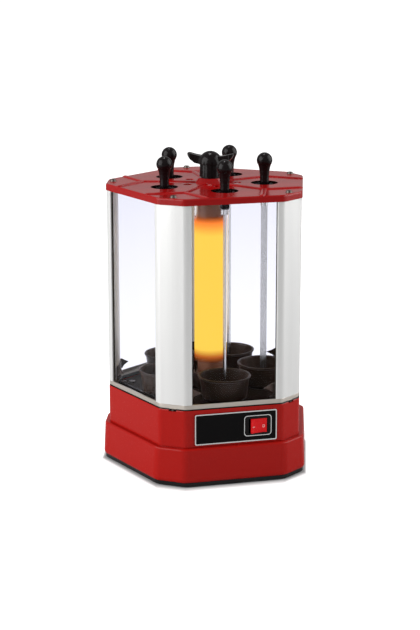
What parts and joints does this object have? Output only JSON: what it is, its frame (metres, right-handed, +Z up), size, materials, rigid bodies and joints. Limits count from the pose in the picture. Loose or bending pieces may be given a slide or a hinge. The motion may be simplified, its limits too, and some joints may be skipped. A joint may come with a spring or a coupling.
{
  "type": "electric skewer grill",
  "caption": "Five-sided vertical skewer grill: glass hood on corner posts, geared red base with rocker switch, middle heater, lift-out skewers and drip cups.",
  "frame": {"origin": "centre of the bounding box at the underside of the feet; the five-sided axis stands 7.05 mm behind it, at y = -0.0070 m", "axes": "+Z up, -Y towards the front with the label and switch, +X to the right seen from the front"},
  "size_m": [0.264, 0.2528, 0.3875],
  "materials": {
    "red_enamel": "gloss red enamel",
    "dark_red_cover": "gloss red enamel on pressed steel",
    "white_post": "satin white on extruded aluminium",
    "clear_glass": "clear tempered glass",
    "heater_glass": "clear quartz tube",
    "silver_trim": "polished trim",
    "steel": "bright steel",
    "screw_steel": "plated screws",
    "black_cover": "gloss black plastic",
    "black_plastic": "satin black plastic",
    "black_label": "printed black panel",
    "black_enamel": "black enamel",
    "floor_enamel": "dark enamel",
    "black_rubber": "black rubber",
    "red_switch": "translucent red rocker",
    "cream_nylon": "nylon gear",
    "brass": "turned brass",
    "ceramic": "heater ceramic",
    "glow_wire": "glowing resistance wire",
    "bracket_steel": "stained steel"
  },
  "bodies": {
    "base": {"bottom_cover": "black_cover", "rubber_feet": "black_rubber", "base_skirt": "red_enamel", "upper_base": "red_enamel", "label_plate": "black_label", "label_border": "silver_trim", "switch_bezel": "black_plastic", "chamber_floor": "floor_enamel", "gear_plate": "steel", "gear_plate_spacers": "steel", "spindle_bushes": "brass", "centre_post": "steel", "motor": "steel", "heater_base": "ceramic", "glass_tube": "heater_glass", "heater_core": "ceramic", "heater_strands": "glow_wire", "heater_collar": "ceramic", "centre_rod": "steel", "mains_inlet": "black_plastic", "base_screws": "screw_steel"},
    "rocker": {"rocker": "red_switch"},
    "sun": {"sun_gear": "cream_nylon"},
    "pinion": {"motor_pinion": "brass"},
    "hood": {"top_plate": "dark_red_cover", "plate_screws": "screw_steel", "corner_posts": "white_post", "glass_panes": "clear_glass", "hood_ring": "silver_trim", "ring_screws": "screw_steel", "pane_seals": "black_rubber", "post_brackets": "bracket_steel"},
    "knob_washer": {"knob_washer": "steel"},
    "knob": {"wing_knob": "black_plastic", "knob_insert": "brass"},
    "drive_1": {"drive_gear_1": "cream_nylon", "spindle_1": "steel"},
    "skewer_1": {"skewer_blade_1": "steel", "skewer_handle_1": "black_plastic"},
    "cup_1": {"drip_cup_1": "black_enamel"},
    "drive_2": {"drive_gear_2": "cream_nylon", "spindle_2": "steel"},
    "skewer_2": {"skewer_blade_2": "steel", "skewer_handle_2": "black_plastic"},
    "cup_2": {"drip_cup_2": "black_enamel"},
    "drive_3": {"drive_gear_3": "cream_nylon", "spindle_3": "steel"},
    "skewer_3": {"skewer_blade_3": "steel", "skewer_handle_3": "black_plastic"},
    "cup_3": {"drip_cup_3": "black_enamel"},
    "drive_4": {"drive_gear_4": "cream_nylon", "spindle_4": "steel"},
    "skewer_4": {"skewer_blade_4": "steel", "skewer_handle_4": "black_plastic"},
    "cup_4": {"drip_cup_4": "black_enamel"},
    "drive_5": {"drive_gear_5": "cream_nylon", "spindle_5": "steel"},
    "skewer_5": {"skewer_blade_5": "steel", "skewer_handle_5": "black_plastic"},
    "cup_5": {"drip_cup_5": "black_enamel"}
  },
  "joints": [
    {"name": "hood_lift", "type": "slide", "parent": "base", "child": "hood", "axis": [0, 0, 1], "range_m": [0, 0.3]},
    {"name": "knob_rise", "type": "slide", "parent": "hood", "child": "knob_washer", "axis": [0, 0, 1], "range_m": [0, 0.01]},
    {"name": "knob_turn", "type": "hinge", "parent": "knob_washer", "child": "knob", "pos_m": [0, -0.00704, 0.361], "axis": [0, 0, 1], "range_deg": [0, 2880]},
    {"name": "rocker_tilt", "type": "hinge", "parent": "base", "child": "rocker", "pos_m": [0.029, -0.11564, 0.0698], "axis": [0, 0, -1], "range_deg": [0, 20]},
    {"name": "sun_spin", "type": "hinge", "parent": "base", "child": "sun", "pos_m": [0, -0.00704, 0.0835], "axis": [0, 0, 1], "continuous": true},
    {"name": "pinion_spin", "type": "hinge", "parent": "base", "child": "pinion", "pos_m": [0, 0.04496, 0.0835], "axis": [0, 0, 1], "continuous": true},
    {"name": "drive_1_spin", "type": "hinge", "parent": "base", "child": "drive_1", "pos_m": [0, -0.07304, 0.0835], "axis": [0, 0, 1], "continuous": true},
    {"name": "skewer_1_lift", "type": "slide", "parent": "drive_1", "child": "skewer_1", "axis": [0, 0, 1], "range_m": [0, 0.3]},
    {"name": "cup_1_lift", "type": "slide", "parent": "base", "child": "cup_1", "axis": [0, 0, 1], "range_m": [0, 0.2]},
    {"name": "drive_2_spin", "type": "hinge", "parent": "base", "child": "drive_2", "pos_m": [0.06277, -0.02744, 0.0835], "axis": [0, 0, 1], "continuous": true},
    {"name": "skewer_2_lift", "type": "slide", "parent": "drive_2", "child": "skewer_2", "axis": [0, 0, 1], "range_m": [0, 0.3]},
    {"name": "cup_2_lift", "type": "slide", "parent": "base", "child": "cup_2", "axis": [0, 0, 1], "range_m": [0, 0.2]},
    {"name": "drive_3_spin", "type": "hinge", "parent": "base", "child": "drive_3", "pos_m": [0.03879, 0.04635, 0.0835], "axis": [0, 0, 1], "continuous": true},
    {"name": "skewer_3_lift", "type": "slide", "parent": "drive_3", "child": "skewer_3", "axis": [0, 0, 1], "range_m": [0, 0.3]},
    {"name": "cup_3_lift", "type": "slide", "parent": "base", "child": "cup_3", "axis": [0, 0, 1], "range_m": [0, 0.2]},
    {"name": "drive_4_spin", "type": "hinge", "parent": "base", "child": "drive_4", "pos_m": [-0.03879, 0.04635, 0.0835], "axis": [0, 0, 1], "continuous": true},
    {"name": "skewer_4_lift", "type": "slide", "parent": "drive_4", "child": "skewer_4", "axis": [0, 0, 1], "range_m": [0, 0.3]},
    {"name": "cup_4_lift", "type": "slide", "parent": "base", "child": "cup_4", "axis": [0, 0, 1], "range_m": [0, 0.2]},
    {"name": "drive_5_spin", "type": "hinge", "parent": "base", "child": "drive_5", "pos_m": [-0.06277, -0.02744, 0.0835], "axis": [0, 0, 1], "continuous": true},
    {"name": "skewer_5_lift", "type": "slide", "parent": "drive_5", "child": "skewer_5", "axis": [0, 0, 1], "range_m": [0, 0.3]},
    {"name": "cup_5_lift", "type": "slide", "parent": "base", "child": "cup_5", "axis": [0, 0, 1], "range_m": [0, 0.2]}
  ],
  "couplings": [
    {"joint": "knob_rise", "follows": "knob_turn", "m_per_rad": 0.00019894},
    {"joint": "pinion_spin", "follows": "sun_spin", "ratio": -4.2},
    {"joint": "drive_1_spin", "follows": "sun_spin", "ratio": -1.75},
    {"joint": "drive_2_spin", "follows": "sun_spin", "ratio": -1.75},
    {"joint": "drive_3_spin", "follows": "sun_spin", "ratio": -1.75},
    {"joint": "drive_4_spin", "follows": "sun_spin", "ratio": -1.75},
    {"joint": "drive_5_spin", "follows": "sun_spin", "ratio": -1.75}
  ]
}
